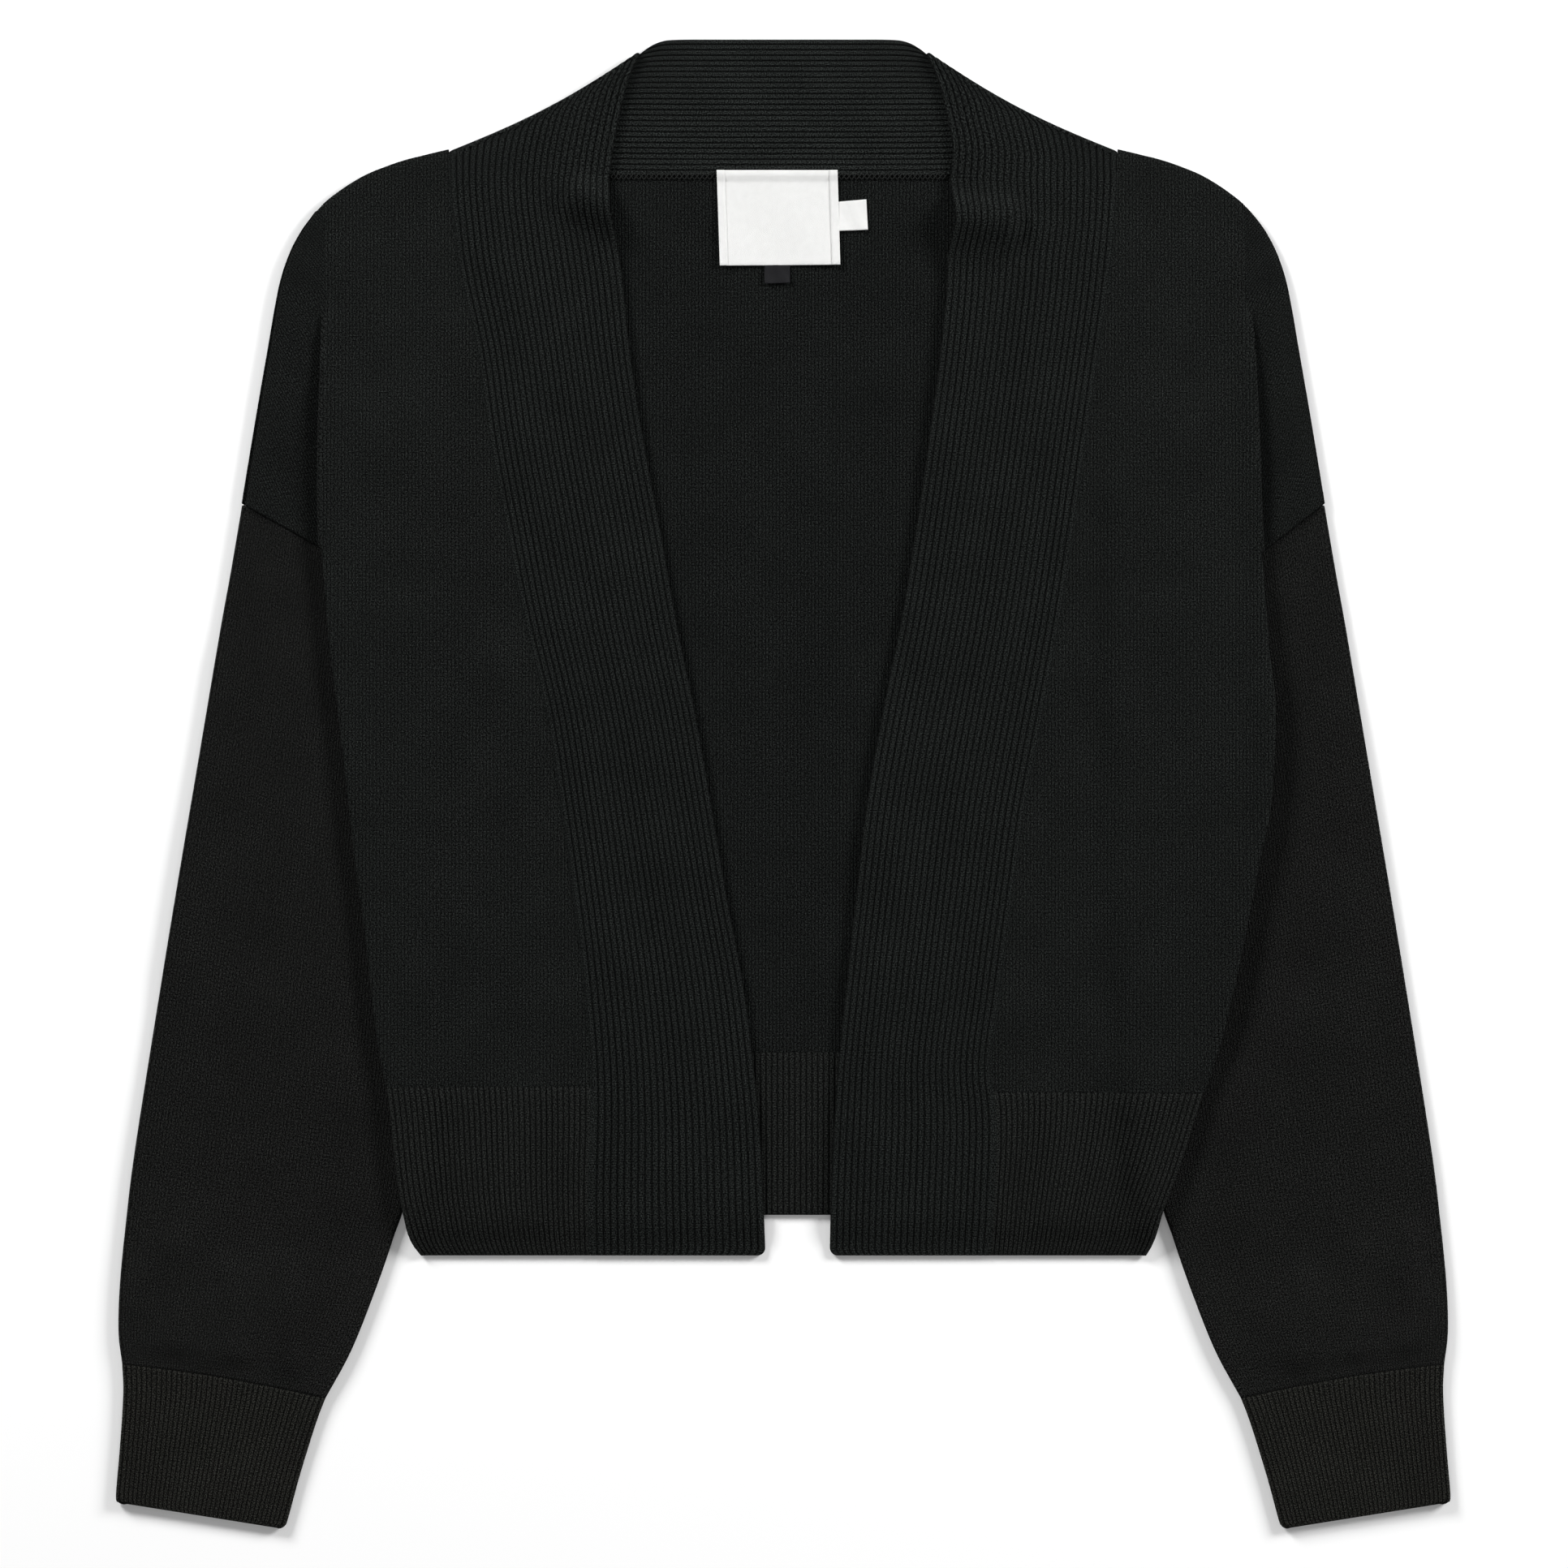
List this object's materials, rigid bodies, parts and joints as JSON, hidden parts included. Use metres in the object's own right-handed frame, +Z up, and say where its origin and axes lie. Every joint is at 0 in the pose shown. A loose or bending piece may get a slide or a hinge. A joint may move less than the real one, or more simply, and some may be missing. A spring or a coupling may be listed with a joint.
{
  "type": "cropped cardigan",
  "caption": "Cropped open-front knitted cardigan laid flat: dropped shoulders, full sleeves, ribbed hem and cuffs, and a wide ribbed band round fronts and neck",
  "frame": {"origin": "centre of the garment's outline on the surface that it lies on", "axes": "+X to the right of the view from above, +Y from the hem to the collar, +Z up from the surface"},
  "size_m": [0.5794, 0.6464, 0.0093],
  "materials": {
    "jersey_knit": "fine black plain knit, matt with a slight nap",
    "rib_knit": "black ribbed knit, matt with a slight nap",
    "white_label": "white woven satin ribbon",
    "dark_label": "dark grey woven ribbon"
  },
  "bodies": {
    "root": {"back_panel": "jersey_knit", "back_hem": "rib_knit", "front_band": "rib_knit", "left_front": "jersey_knit", "right_front": "jersey_knit", "left_front_hem": "rib_knit", "right_front_hem": "rib_knit", "left_sleeve": "jersey_knit", "right_sleeve": "jersey_knit", "left_cuff": "rib_knit", "right_cuff": "rib_knit", "neck_label": "white_label", "care_tab": "white_label", "size_tab": "dark_label"}
  },
  "joints": []
}
